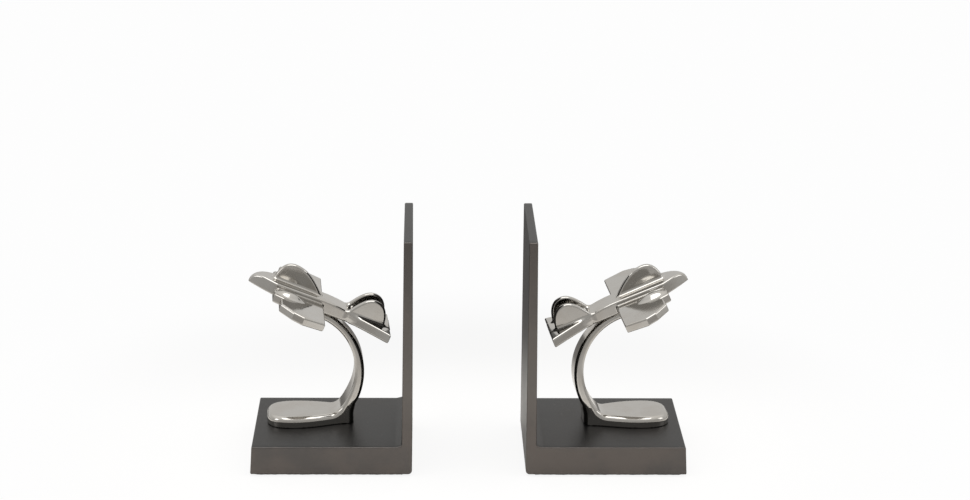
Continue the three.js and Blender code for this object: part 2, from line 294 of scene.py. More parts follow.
class Socket:
    """A node's output or a number, on which Python's operators add Math nodes."""

    def __init__(self, graph: "Graph", link: bpy.types.NodeSocket) -> None:
        """Remembers the graph that the output belongs to."""
        self.graph = graph
        self.link = link

    def math(self, operation: str, *others: "Socket | float", first: bool = True) -> "Socket":
        """Adds a Math node of this value and others, this one first or last."""
        values = [self, *others] if first else [*others, self]
        inputs = dict(enumerate(values))
        return self.graph.node("ShaderNodeMath", {"operation": operation}, inputs)

    def __add__(self, other: "Socket | float") -> "Socket":
        """This value plus another."""
        return self.math("ADD", other)

    __radd__ = __add__

    def __sub__(self, other: "Socket | float") -> "Socket":
        """This value less another."""
        return self.math("SUBTRACT", other)

    def __rsub__(self, other: float) -> "Socket":
        """A number less this value."""
        return self.math("SUBTRACT", other, first=False)

    def __mul__(self, other: "Socket | float") -> "Socket":
        """This value times another."""
        return self.math("MULTIPLY", other)

    __rmul__ = __mul__

    def clamp(self, low: float, high: float) -> "Socket":
        """This value kept between two numbers."""
        return self.math("MAXIMUM", low).math("MINIMUM", high)

    def smooth(self, low: float, high: float) -> "Socket":
        """0 below the low number, 1 above the high one, and an S curve between them."""
        settings = {"interpolation_type": "SMOOTHSTEP"}
        values = {0: self, 1: low, 2: high}
        return self.graph.node("ShaderNodeMapRange", settings, values)


class Graph:
    """The nodes of one material or world."""

    def __init__(self, tree: bpy.types.NodeTree) -> None:
        """Clears a node tree, to be filled."""
        self.tree = tree
        tree.nodes.clear()

    def node(self, kind: str, settings: dict | None = None, values: dict | None = None,
             output: int | str = 0) -> Socket:
        """Adds a node.

        Args:
            kind: The node's type.
            settings: Its own settings, such as a Math node's operation, which are set first.
            values: Numbers, colours or sockets for its inputs, by name or number.
            output: Which of its outputs to return.

        Returns:
            That output.
        """
        made = self.tree.nodes.new(kind)
        for name, value in (settings or {}).items():
            setattr(made, name, value)
        for name, value in (values or {}).items():
            if isinstance(value, Socket):
                self.tree.links.new(value.link, made.inputs[name])
            else:
                made.inputs[name].default_value = value
        return Socket(self, made.outputs[output]) if made.outputs else Socket(self, None)

    def place(self, stretch: tuple[float, float, float] = (1, 1, 1),
              turn: tuple[float, float, float] = (0, 0, 0)) -> Socket:
        """Object coordinates, turned and stretched."""
        here = self.node("ShaderNodeTexCoord", output="Object")
        return self.node("ShaderNodeMapping", values={"Vector": here, "Rotation": turn, "Scale": stretch})

    def along(self, axis: str, vector: Socket) -> Socket:
        """One of a vector's three numbers, by its letter."""
        return self.node("ShaderNodeSeparateXYZ", values={"Vector": vector}, output=axis)

    def noise(self, vector: Socket, scale: float, detail: float, roughness: float) -> Socket:
        """Noise from 0 to 1, with features about 1 / scale metres across."""
        values = {"Vector": vector, "Scale": scale, "Detail": detail, "Roughness": roughness}
        return self.node("ShaderNodeTexNoise", values=values)

    def blend(self, mask: Socket | float, a: Socket | tuple, b: Socket | tuple) -> Socket:
        """Colour a where the mask is 0 and b where it is 1."""
        settings = {"data_type": "RGBA"}
        return self.node("ShaderNodeMix", settings, {0: mask, 6: a, 7: b}, output=2)

    def surface(self, values: dict) -> None:
        """Adds the Principled shader with these values, and gives it to the output."""
        shader = self.node("ShaderNodeBsdfPrincipled", values=values)
        self.node("ShaderNodeOutputMaterial", values={"Surface": shader})

    def bump(self, height: Socket, depth: float, before: Socket | None = None) -> Socket:
        """Relief of that depth in metres, on top of relief that came before."""
        values: dict = {"Height": height, "Distance": depth, "Strength": 1.0}
        if before is not None:
            values["Normal"] = before
        return self.node("ShaderNodeBump", values=values)


def shade(name: str) -> tuple[bpy.types.Material, Graph]:
    """A new material and its empty graph."""
    material = bpy.data.materials.new(name)
    material.use_nodes = True
    return material, Graph(material.node_tree)


def colour(red: float, green: float, blue: float) -> tuple[float, float, float, float]:
    """An opaque colour, as linear light."""
    return (red, green, blue, 1.0)


@dataclass(frozen=True)
class PolishedNickel:
    """Bright plate, buffed by hand: faint waves and fine buffing lines, a little cloudier in places."""

    tone: tuple[float, float, float, float] = colour(0.48, 0.468, 0.445)
    warm: tuple[float, float, float, float] = colour(0.45, 0.43, 0.40)
    gloss: float = 0.07
    cloud: float = 0.06
    wave: float = 0.00006
    lines: float = 0.0000016

    def material(self) -> bpy.types.Material:
        """Builds the material.

        Returns:
            The finished material.
        """
        material, g = shade("polished_nickel")
        here = g.place()
        clouds = g.noise(here, 60, 3, 0.6)
        smear = g.noise(g.place((1, 5, 5)), 240, 3, 0.6)
        waves = g.noise(here, 70, 1, 0.4)
        buffing = g.noise(g.place((1, 14, 14), (0.2, 0.3, 0.15)), 900, 2, 0.5)
        relief = g.bump(buffing, self.lines, g.bump(waves, self.wave))
        values = {
            "Base Color": g.blend(clouds.smooth(0.35, 0.7), self.tone, self.warm),
            "Metallic": 1.0,
            "Roughness": self.gloss + clouds.smooth(0.4, 0.75) * self.cloud + smear * 0.04,
            "Normal": relief,
        }
        g.surface(values)
        return material


@dataclass(frozen=True)
class Gunmetal:
    """Satin cast metal under a dark patina: browner and greyer patches, a soft cast texture and
    small bright rubs. The two faces across the depth are painted lighter and browner: painted light
    for the brighter reflection they show, with a browner tint. It starts within the rounded rim and
    is painted lighter still at the upright's height."""

    half_depth: float
    middle: float
    grey: tuple[float, float, float, float] = colour(0.027, 0.0275, 0.0275)
    brown: tuple[float, float, float, float] = colour(0.036, 0.034, 0.033)
    # Painted light: lighter, browner tones for the faces across the depth, for the brighter reflection
    # they show.
    sanded: tuple[float, float, float, float] = colour(0.096, 0.090, 0.087)
    painted_lit_bronze: tuple[float, float, float, float] = colour(0.122, 0.109, 0.101)
    # Painted light: a still lighter tone for those faces at the upright's height.
    painted_upright_light: tuple[float, float, float, float] = colour(0.185, 0.172, 0.158)
    rubbed: tuple[float, float, float, float] = colour(0.13, 0.12, 0.115)
    pitted: tuple[float, float, float, float] = colour(0.035, 0.033, 0.031)
    rim: tuple[float, float] = (0.0011, 0.0004)
    satin: float = 0.26
    grain: float = 0.00003
    dents: float = 0.00012

    def material(self) -> bpy.types.Material:
        """Builds the material.

        Returns:
            The finished material.
        """
        material, g = shade("gunmetal_patina")
        here = g.place()
        patches = g.noise(here, 22, 4, 0.6)
        specks = g.noise(here, 900, 3, 0.6)
        sanded = g.noise(g.place((6, 1, 6)), 260, 4, 0.6)
        rubs = g.noise(g.place((3, 1, 1), (0.3, 0.1, 0.7)), 170, 5, 0.65)
        broad = g.noise(here, 35, 1, 0.4)
        base = g.blend(patches.smooth(0.32, 0.68), self.grey, self.brown)
        # Painted light: the lighter, browner tone of the faces across the depth, varied by the patches.
        sides = g.blend(patches.smooth(0.3, 0.62), self.sanded, self.painted_lit_bronze)
        height = g.along("Z", here)
        # Painted light: a band from about 3 cm up, fading partly above 11 cm, where those faces are
        # painted lighter still.
        painted_upright_mask = height.smooth(0.03, 0.07) * (1 - height.smooth(0.11, 0.18) * 0.7) * 0.5
        sides = g.blend(painted_upright_mask, sides, self.painted_upright_light)
        across = (g.along("Y", here) - self.middle).math("ABSOLUTE")
        inner, outer = self.rim
        # Painted light: the faces across the depth take the lighter tone, starting within the rounded rim.
        base = g.blend(across.smooth(self.half_depth - inner, self.half_depth - outer), base, sides)
        base = g.blend(rubs.smooth(0.6, 0.78) * 0.45, base, self.rubbed)
        base = g.blend(specks.smooth(0.62, 0.8) * 0.3, base, self.pitted)
        relief = g.bump(broad, self.dents)
        relief = g.bump(sanded * 0.5 + specks * 0.5, self.grain, relief)
        values = {
            "Base Color": base,
            "Metallic": 0.9,
            "Roughness": self.satin + patches * 0.12 + sanded * 0.1,
            "Normal": relief,
        }
        g.surface(values)
        return material


@dataclass(frozen=True)
class TurnedSteel:
    """Zinc-grey steel of the screws and washers, with fine turning marks."""

    tone: tuple[float, float, float, float] = colour(0.46, 0.455, 0.44)
    dull: tuple[float, float, float, float] = colour(0.34, 0.33, 0.31)

    def material(self) -> bpy.types.Material:
        """Builds the material.

        Returns:
            The finished material.
        """
        material, g = shade("turned_steel")
        marks = g.noise(g.place((1, 1, 8)), 1400, 3, 0.6)
        stains = g.noise(g.place(), 300, 4, 0.6)
        values = {
            "Base Color": g.blend(stains.smooth(0.4, 0.7), self.tone, self.dull),
            "Metallic": 1.0,
            "Roughness": 0.26 + marks * 0.2,
            "Normal": g.bump(marks, 0.00001),
        }
        g.surface(values)
        return material


@dataclass(frozen=True)
class BlackFelt:
    """Pressed wool felt: short matted fibres in near-black."""

    dark: tuple[float, float, float, float] = colour(0.012, 0.012, 0.013)
    light: tuple[float, float, float, float] = colour(0.035, 0.034, 0.036)

    def material(self) -> bpy.types.Material:
        """Builds the material.

        Returns:
            The finished material.
        """
        material, g = shade("black_felt")
        fibres = g.noise(g.place((1, 3, 1), (0, 0, 0.6)), 1500, 4, 0.7)
        crossing = g.noise(g.place((3, 1, 1), (0, 0, 0.2)), 1700, 4, 0.7)
        mat = fibres * 0.5 + crossing * 0.5
        values = {
            "Base Color": g.blend(mat.smooth(0.35, 0.7), self.dark, self.light),
            "Roughness": 0.95,
            "Sheen Weight": 0.4,
            "Normal": g.bump(mat, 0.0002),
        }
        g.surface(values)
        return material


# ---- where things stand ------------------------------------------------------------------


@dataclass(frozen=True)
class Datum:
    """The places on one book end that its pieces are drawn from, in millimetres.

    The stand frame has X along the foot towards the upright and Z up from the foot's underside.
    The flight frame has X to the nose, Y to port and Z square to the wings' underside.
    """

    side: Side
    reach: float = 80.0
    setback: float = 7.0
    turn: float = 4.0
    pitch: float = 23.0
    base_top: float = 23.0

    def book_face(self) -> tuple[float, float]:
        """X of the book face and Y of the base's middle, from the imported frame."""
        low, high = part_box(f"{self.side.value}_base_casting")
        face = high.x if self.side is Side.LEFT else low.x
        return face / MM, (low.y + high.y) / 2 / MM

    def base(self) -> Matrix:
        """Base frame to row frame: book face at X = 0, casting towards -X, shelf at Z = 0."""
        face, middle = self.book_face()
        half_turn = 0.0 if self.side is Side.LEFT else np.pi
        return Matrix.Translation((face, middle, 0)) @ Matrix.Rotation(half_turn, 4, "Z")

    def stand(self) -> Matrix:
        """Stand frame to row frame."""
        place = (-self.reach, self.side.facing * self.setback, self.base_top + GAP)
        yaw = Matrix.Rotation(np.radians(self.turn), 4, "Z")
        return self.base() @ Matrix.Translation(place) @ yaw

    def flight(self, origin: tuple[float, float]) -> Matrix:
        """Flight frame to row frame, from its origin's X and Z in the stand frame."""
        turn = Matrix.Rotation(np.pi, 4, "Z") @ Matrix.Rotation(-np.radians(self.pitch), 4, "Y")
        return self.stand() @ Matrix.Translation((origin[0], 0, origin[1])) @ turn


def carried(matrix: Matrix, points: Array, normals: Array | None = None) -> tuple[Array, Array | None]:
    """Points in millimetres and their normals, moved by a matrix, the points then in metres."""
    m = np.array(matrix)
    moved = (points @ m[:3, :3].T + m[:3, 3]) * MM
    return moved, None if normals is None else normals @ m[:3, :3].T


# ---- the polished castings ---------------------------------------------------------------


@dataclass
class Aeroplane:
    """The aeroplane: crowned body, two lobed wings, flared tail, three fins and two pods, cast and
    buffed as one piece. Sizes are in its flight frame; lengths run from the wings' rear edge. A
    fin's run is where it starts, where it ends and where its crest is."""

    nose: float = 58.5
    nose_base: float = 38.5
    nose_half_width: float = 12.6
    tail: float = 53.5
    tail_root: float = 22.0
    tail_half_span: float = 25.3
    body_half_width: float = 10.5
    body_height: float = 9.8
    tip_height: float = 2.0
    tail_height: float = 7.5
    wing_thickness: float = 6.5
    rear_half_span: float = 55.0
    tip_half_span: float = 58.5
    tip_chord: float = 16.5
    lead_corner: tuple[float, float] = (24.5, 55.2)
    outer_lobe: tuple[float, float] = (34.5, 46.0)
    inner_lobe: tuple[float, float] = (39.5, 29.0)
    notch: float = 1.8
    edge: float = 1.5
    fin_run: tuple[float, float, float] = (3.5, 41.5, 29.5)
    fin_height: float = 15.0
    fin_half_thickness: float = 2.2
    fin_edge: float = 1.7
    tail_fin_run: tuple[float, float, float] = (-18.5, -48.2, -36.0)
    tail_fin_height: float = 15.9
    tail_fin_away: float = 8.8
    tail_fin_half_thickness: float = 2.0
    tail_fin_edge: float = 1.6
    pod_centre: tuple[float, float, float] = (28.0, 22.0, 6.8)
    pod_half_size: tuple[float, float, float] = (8.5, 4.6, 3.2)
    pod_scale: float = 3.6
    tail_fillet: float = 1.5
    wing_fillet: float = 0.9
    fin_fillet: float = 2.4
    pod_fillet: float = 2.6
    top: float = 26.0
    step: float = 0.55
    outlines: dict[str, Outline] = field(default_factory=dict)

    def __post_init__(self) -> None:
        """Draws the outlines that the field is built from."""
        bow = bezier([
            (self.nose, 1.0),
            ((self.nose_base + self.nose) / 2 + 2, self.nose_half_width / 2 + 1),
            (self.nose_base, self.nose_half_width),
        ])
        self.outlines["body"] = Outline(
            [(-self.tail, PAST), (self.nose, PAST)], bow,
            [(0, self.body_half_width), (-self.tail, self.body_half_width)])
        crown = bezier([(self.nose, self.tip_height), (self.nose - 1, self.body_height - 2.3),
                        (self.nose - 5, self.body_height), (self.nose_base + 6.5, self.body_height)])
        saddle = bezier([(0, self.body_height), (-self.tail_root / 2, self.body_height),
                         (-self.tail_root, self.tail_height)])
        self.outlines["side"] = Outline(
            [(-self.tail, 0), (self.nose, 0)], crown, saddle, [(-self.tail, self.tail_height)])
        self.outlines["wing"] = self.wing()
        midway = (self.tail_half_span + self.body_half_width) / 2 - 1
        flare = bezier([(-self.tail_root, self.body_half_width),
                        (-(self.tail + self.tail_root) / 2, midway),
                        (-self.tail, self.tail_half_span)])
        self.outlines["tail"] = Outline([(-self.tail, PAST), (-self.tail_root, PAST)], flare)
        self.outlines["fin"] = self.fin(*self.fin_run, self.body_height + GAP, self.fin_height)
        self.outlines["tail_fin"] = self.fin(
            *self.tail_fin_run, self.tail_height + GAP, self.tail_fin_height)

    def wing(self) -> Outline:
        """One wing from above: rear edge, flared tip, lead in two flats, outer lobe, inner lobe,
        root."""
        ahead, out = self.outer_lobe
        inner_ahead, inner_out = self.inner_lobe
        lead = [(self.tip_chord, self.tip_half_span), self.lead_corner, (ahead, out)]
        notch, root = self.notch, self.nose_half_width
        return Outline(
            [(0, PAST), (0, self.rear_half_span)], lead,
            [(ahead, inner_out + 2 * notch), (ahead - notch, inner_out + notch),
             (inner_ahead, inner_out), (inner_ahead, root + 2 * notch),
             (inner_ahead - notch, root + notch), (inner_ahead - notch, PAST)])

    @staticmethod
    def fin(start: float, end: float, crest: float, bottom: float, height: float) -> Outline:
        """A fin's side view: a long slope up to the crest and a short one down, closed below."""
        top, away, back = bottom + height, crest - start, end - crest
        rise = bezier([(start, bottom), (start + away * 0.37, bottom + height * 0.65),
                       (start + away * 0.63, top), (crest, top)])
        fall = bezier([(crest, top), (crest + back * 0.58, top),
                       (crest + back * 0.92, bottom + height * 0.62), (end, bottom)])
        return Outline([(start, bottom - 5)], rise, fall, [(end, bottom - 5)])

    def field(self, x: Array, y: Array, z: Array) -> Array:
        """Signed distance to the aeroplane: rounded meetings of plans and side views with layers,
        joined by fillets. Port and starboard are mirror images, so it works on the size of y."""
        o = self.outlines
        away = np.abs(y)
        above, beside = np.broadcast_arrays(x, away), np.broadcast_arrays(x, z)
        plan = {name: o[name].distance(*above) for name in ("body", "wing", "tail")}
        view = {name: o[name].distance(*beside) for name in ("side", "fin", "tail_fin")}
        wing = rounded_meet(plan["wing"], slab(z, 0, self.wing_thickness), self.edge)
        tail = rounded_meet(plan["tail"], slab(z, 0, self.tail_height), self.edge)
        body = rounded_meet(plan["body"], view["side"], self.edge)
        fin = rounded_meet(view["fin"], away - self.fin_half_thickness, self.fin_edge)
        blade = np.abs(away - self.tail_fin_away) - self.tail_fin_half_thickness
        tail_fin = rounded_meet(view["tail_fin"], blade, self.tail_fin_edge)
        whole = filleted_join(filleted_join(body, tail, self.tail_fillet), wing, self.wing_fillet)
        for raised in (fin, tail_fin):
            whole = filleted_join(whole, raised, self.fin_fillet)
        return filleted_join(whole, self.pod(x, away, z), self.pod_fillet)

    def pod(self, x: Array, away: Array, z: Array) -> Array:
        """Near distance to an egg: how far past 1 its scaled radius is, times a middling size."""
        scaled = [(at - centre) / half for at, centre, half
                  in zip((x, away, z), self.pod_centre, self.pod_half_size)]
        return (np.sqrt(scaled[0] ** 2 + scaled[1] ** 2 + scaled[2] ** 2) - 1) * self.pod_scale

    def net(self) -> tuple[Array, Array, Array]:
        """Vertices, quads and normals in the flight frame."""
        low = np.array([-self.tail, -self.tip_half_span, 0.0])
        high = np.array([self.nose, self.tip_half_span, self.top])
        return surface_net(self.field, low, high, self.step)


@dataclass
class FootAndStem:
    """The foot and the curved stem that carries the aeroplane, in the stand frame."""

    thickness: float = 8.0
    outer_reach: float = 30.5
    heel_reach: float = 36.3
    half_width: float = 20.5
    heel_half_width: float = 13.0
    edge: float = 4.0
    heel_round: float = 7.0
    change: tuple[float, float] = (6.0, 20.0)
    inner_edge: float = 2.2
    outer_edge: float = 3.0
    radius: float = 51.0
    centre: tuple[float, float] = (-7.9, 40.1)
    heel_thickness: float = 8.0
    top_thickness: float = 5.6
    foot_angle: float = -22.0
    fillet_run: float = 8.0
    top_half_width: float = 5.5
    tongue: float = 14.0
    trailing: float = 1.8
    screw_ahead: float = 5.0
    screw_reach: tuple[float, float] = (-14.0, 20.0)
    tapped_radius: float = 2.8
    tapped_depth: float = 5.9
    recess_radius: float = 3.3
    recess_depth: float = 4.1
    shank_radius: float = 1.8
    pitch: float = 23.0
    step: float = 0.5

    def __post_init__(self) -> None:
        """Works out the seat's directions and the outer arc, and draws the outlines."""
        p = np.radians(self.pitch)
        self.seat = np.pi / 2 - p
        heel_angle = -np.arccos((self.heel_reach - self.centre[0]) / self.radius)
        self.outer_arc = arc(self.centre, self.radius, heel_angle, self.seat, 160)
        self.ahead = np.array([-np.cos(p), np.sin(p)])
        self.up = np.array([np.sin(p), np.cos(p)])
        self.arc_end = np.array(self.centre) + self.up * self.radius
        self.origin = self.arc_end + self.up * GAP + self.ahead * self.trailing
        self.plan = self.draw_plan()
        self.side = self.draw_side()
        self.back = self.draw_back()

    def draw_plan(self) -> Outline:
        """Half the foot from above, carried past its middle line."""
        out, heel, wide, narrow = self.outer_reach, self.heel_reach, self.half_width, self.heel_half_width
        flat, widest = wide / 5, -out / 3
        flank = bezier([(heel - self.heel_round, narrow), (heel / 2, narrow), (heel / 4, wide),
                        (widest, wide)])
        end = bezier([(widest, wide), (-out * 0.75, wide), (-out, wide * 0.75), (-out, flat)])
        corner = (heel - self.heel_round, narrow - self.heel_round)
        rounded = arc(corner, self.heel_round, 0, np.pi / 2, 30)
        return Outline([(heel, PAST)], rounded, flank, end, [(-out, PAST)])

    def draw_side(self) -> Outline:
        """Foot and stem from the side, as one bent strip: heel, outer arc, straight seat, inner arc,
        turn into the foot's top. It runs on past the foot's end, where the plan stops it."""
        foot_angle = np.radians(self.foot_angle)
        inner_radius = self.radius - self.heel_thickness
        inner = np.array(self.centre) + self.up * (self.heel_thickness - self.top_thickness)
        inner_end = inner + inner_radius * np.array([np.cos(foot_angle), np.sin(foot_angle)])
        corner = inner_end[0] + np.tan(foot_angle) * (inner_end[1] - self.thickness)
        tip = self.arc_end + self.ahead * self.tongue
        top = self.thickness
        turn = bezier([tuple(inner_end), (corner, top), (corner - self.fillet_run, top)])
        root, past = -self.thickness, -1.5 * self.outer_reach
        return Outline(
            [(self.heel_reach, root)], self.outer_arc,
            [self.arc_end + self.up * GAP, tip + self.up * GAP, tip - self.up * self.top_thickness],
            arc(tuple(inner), inner_radius, self.seat, foot_angle, 140), turn,
            [(past, top), (past, root)])

    def draw_back(self) -> Outline:
        """The stem's outer side alone: heel wall, outer arc and seat, closed far inside."""
        far = self.arc_end + self.ahead * 2 * self.outer_reach + self.up * GAP
        return Outline([(self.heel_reach, -3 * self.thickness)], self.outer_arc,
                       [self.arc_end + self.up * GAP, far, (far[0], -3 * self.thickness)])

    def field(self, x: Array, y: Array, z: Array) -> Array:
        """Signed distance to the foot and stem: their side view meets a flank that is the foot's plan
        low down and, through an S curve of height, becomes the stem's taper. The edge round the
        foot's top is broad and narrows up the stem, and the screws' holes are cut."""
        away = np.abs(y)
        straight = self.thickness * 1.8
        slope = (self.heel_half_width - self.top_half_width) / (self.arc_end[1] + self.tongue - straight)
        width = self.heel_half_width - slope * np.maximum(z - straight, 0)
        view = self.side.distance(*np.broadcast_arrays(x, z))
        outer = self.back.distance(*np.broadcast_arrays(x, z))
        plan = self.plan.distance(*np.broadcast_arrays(x, away))
        taper = (away - width) / np.hypot(1, slope)
        low, high = self.change
        rise = np.clip((z - low) / (high - low), 0, 1)
        rise = rise**2 * (3 - 2 * rise)
        flank = plan + (taper - plan) * rise
        inner_edge = self.edge + (self.inner_edge - self.edge) * rise
        inner = rounded_meet(view, flank, inner_edge)
        whole = np.maximum(np.maximum(inner, rounded_meet(outer, flank, self.outer_edge)), -z)
        for reach in self.screw_reach:
            hole = np.maximum(np.hypot(x - reach, y) - self.tapped_radius, z - self.tapped_depth)
            whole = np.maximum(whole, -hole)
        return np.maximum(whole, -self.screw_hole(x, y, z))

    def screw_hole(self, x: Array, y: Array, z: Array) -> Array:
        """Distance to the stem screw's hole, square to the seat: a recess from below, and a shank."""
        below = -9
        fx = (x - self.origin[0]) * self.ahead[0] + (z - self.origin[1]) * self.ahead[1]
        fz = (x - self.origin[0]) * self.up[0] + (z - self.origin[1]) * self.up[1]
        away_from_screw = np.hypot(fx - self.screw_ahead, y)
        recess = np.maximum(away_from_screw - self.recess_radius, fz + self.recess_depth)
        shank = np.maximum(away_from_screw - self.shank_radius, np.maximum(fz - 1, below - fz))
        return np.minimum(np.maximum(recess, below - fz), shank)

    def net(self) -> tuple[Array, Array, Array]:
        """Vertices, quads and normals in the stand frame."""
        low = np.array([-self.outer_reach, -self.half_width, 0.0])
        high = np.array([self.centre[0] + self.radius, self.half_width, self.arc_end[1] + 7])
        return surface_net(self.field, low, high, self.step)


# ---- the base casting and its felt -------------------------------------------------------


def rounded_corners(points: list[tuple[float, float, float]], spacing: float) -> Array:
    """A closed outline with each corner turned into an arc.

    The arc touches both straight sides, so its centre lies on the corner's bisector. Sides are cut
    into steps no longer than the spacing.

    Args:
        points: Corners as (x, z, radius), going round the outline.
        spacing: Longest step along a straight side.

    Returns:
        Points of the outline, (n, 2).
    """
    corners = np.array(points, float)
    where, radii = corners[:, :2], corners[:, 2]
    before = np.roll(where, 1, 0) - where
    after = np.roll(where, -1, 0) - where
    before /= np.linalg.norm(before, axis=1)[:, None]
    after /= np.linalg.norm(after, axis=1)[:, None]
    half = np.arccos(np.clip((before * after).sum(1), -1, 1)) / 2
    runs = []
    share = np.linspace(0, 1, 13)[:, None]
    for k in range(len(where)):
        reach = radii[k] / np.tan(half[k])
        bisector = before[k] + after[k]
        bisector /= np.linalg.norm(bisector)
        centre = where[k] + bisector * radii[k] / np.sin(half[k])
        start = where[k] + before[k] * reach - centre
        end = where[k] + after[k] * reach - centre
        sweep = np.pi - 2 * half[k]
        mixed = np.sin((1 - share) * sweep) * start + np.sin(share * sweep) * end
        runs.append(centre + mixed / np.sin(sweep))
    outline = []
    for k, run in enumerate(runs):
        following = runs[(k + 1) % len(runs)][0]
        pieces = max(int(np.ceil(np.linalg.norm(following - run[-1]) / spacing)), 1)
        along = np.linspace(0, 1, pieces + 1)[1:-1, None]
        outline += [run, run[-1] + along * (following - run[-1])]
    return np.vstack(outline)


def lofted(outline: Array, inward: Array, stations: Array, inset: Array) -> tuple[Array, list]:
    """A closed solid: the outline at each station, moved inwards by that station's inset.

    Args:
        outline: Points of the outline, (n, 2), as X and Z, anticlockwise as Y looks away.
        inward: Unit direction into the solid at each point.
        stations: Y of each station, in rising order.
        inset: How far the outline has shrunk at each station.

    Returns:
        Vertices (m, 3), and the side quads with the two end faces.
    """
    rings = outline[None] + inward[None] * inset[:, None, None]
    n, rows = len(outline), len(stations)
    y = np.broadcast_to(stations[:, None], (rows, n))
    points = np.stack((rings[..., 0], y, rings[..., 1]), 2).reshape(-1, 3)
    a = np.arange(n)[None] + n * np.arange(rows - 1)[:, None]
    b = (np.arange(n)[None] + 1) % n + n * np.arange(rows - 1)[:, None]
    sides = np.stack((a, a + n, b + n, b), 2).reshape(-1, 4)
    ends = [list(range(n)), list(range(n * (rows - 1), n * rows))[::-1]]
    return points, sides.tolist() + ends


def inward_of(outline: Array) -> Array:
    """Unit directions into an anticlockwise outline: its tangent, turned a quarter to the left."""
    tangent = np.roll(outline, -1, 0) - np.roll(outline, 1, 0)
    tangent /= np.linalg.norm(tangent, axis=1)[:, None]
    return np.stack((-tangent[:, 1], tangent[:, 0]), 1)


@dataclass
class BaseCasting:
    """The L-shaped casting, in its base frame."""

    length: float = 120.0
    depth: float = 105.0
    bottom: float = 1.5
    top: float = 23.0
    draft: float = 1.2
    heel: float = 3.0
    wall_height: float = 181.5
    wall_foot: float = 7.7
    wall_tip: float = 6.3
    fillet: tuple[float, float] = (9.0, 2.6)
    edge: float = 0.9

    def mesh(self) -> tuple[Array, list]:
        """The side view with rounded corners, carried across the depth; near both ends it shrinks
        as a quarter circle does, so that the long edges are rounded too."""
        along, up = self.fillet
        outline = rounded_corners([
            (-self.length, self.bottom, 1.0), (0, self.bottom, self.heel),
            (0, self.wall_height, self.edge), (-self.wall_tip, self.wall_height, self.edge),
            (-self.wall_foot, self.top + up * 0.45, 1.4), (-self.wall_foot - along * 0.5, self.top, along),
            (-self.length + self.draft, self.top, 1.1),
        ], 4.0)
        turn = np.linspace(0, np.pi / 2, 7)
        half = self.depth / 2
        first = -half + self.edge * (1 - np.cos(turn))
        shrink = self.edge * (1 - np.sin(turn))
        flat = np.linspace(first[-1], -first[-1], 27)[1:-1]
        stations = np.concatenate((first, flat, -first[::-1]))
        inset = np.concatenate((shrink, np.zeros(len(flat)), shrink[::-1]))
        return lofted(outline, inward_of(outline), stations, inset)


@dataclass
class FeltPad:
    """The felt under the base, in its base frame: a thin sheet with a soft, slightly uneven edge."""

    length: float = 120.0
    depth: float = 105.0
    inset: float = 3.0
    heel: float = 3.0
    thickness: float = 1.2
    corner: float = 2.0

    def mesh(self) -> tuple[Array, list]:
        """The pad's plan with rounded corners, carried up through its thickness, a little smaller at
        both faces; each point of the edge wanders by a sum of three sines of its place along it."""
        low, high = -self.length + self.inset, -self.heel - self.inset
        half = self.depth / 2 - self.inset
        outline = rounded_corners([
            (low, -half, self.corner), (high, -half, self.corner),
            (high, half, self.corner), (low, half, self.corner)], 1.2)
        phase = np.arange(len(outline)) * 2 * np.pi / len(outline)
        wander = 0.12 * (np.sin(17 * phase) + np.sin(43 * phase + 1) + np.sin(91 * phase + 2) + 3)
        inward = inward_of(outline)
        outline = outline + inward * wander[:, None]
        stations = np.array([0.0, 0.2, 0.6, 1.0, 1.2]) * self.thickness / 1.2
        inset = np.array([0.3, 0.08, 0.0, 0.08, 0.3])
        points, faces = lofted(outline, inward, stations, inset)
        return points[:, [0, 2, 1]], [face[::-1] for face in faces]


# ---- one book end ------------------------------------------------------------------------


@dataclass
class Finishes:
    """The four materials of the pair."""

    nickel: bpy.types.Material
    gunmetal: bpy.types.Material
    steel: bpy.types.Material
    felt: bpy.types.Material


@dataclass
class Castings:
    """The two polished nets, worked out once and used on both book ends."""

    aeroplane: tuple[Array, Array, Array]
    stem: tuple[Array, Array, Array]
    origin: tuple[float, float]


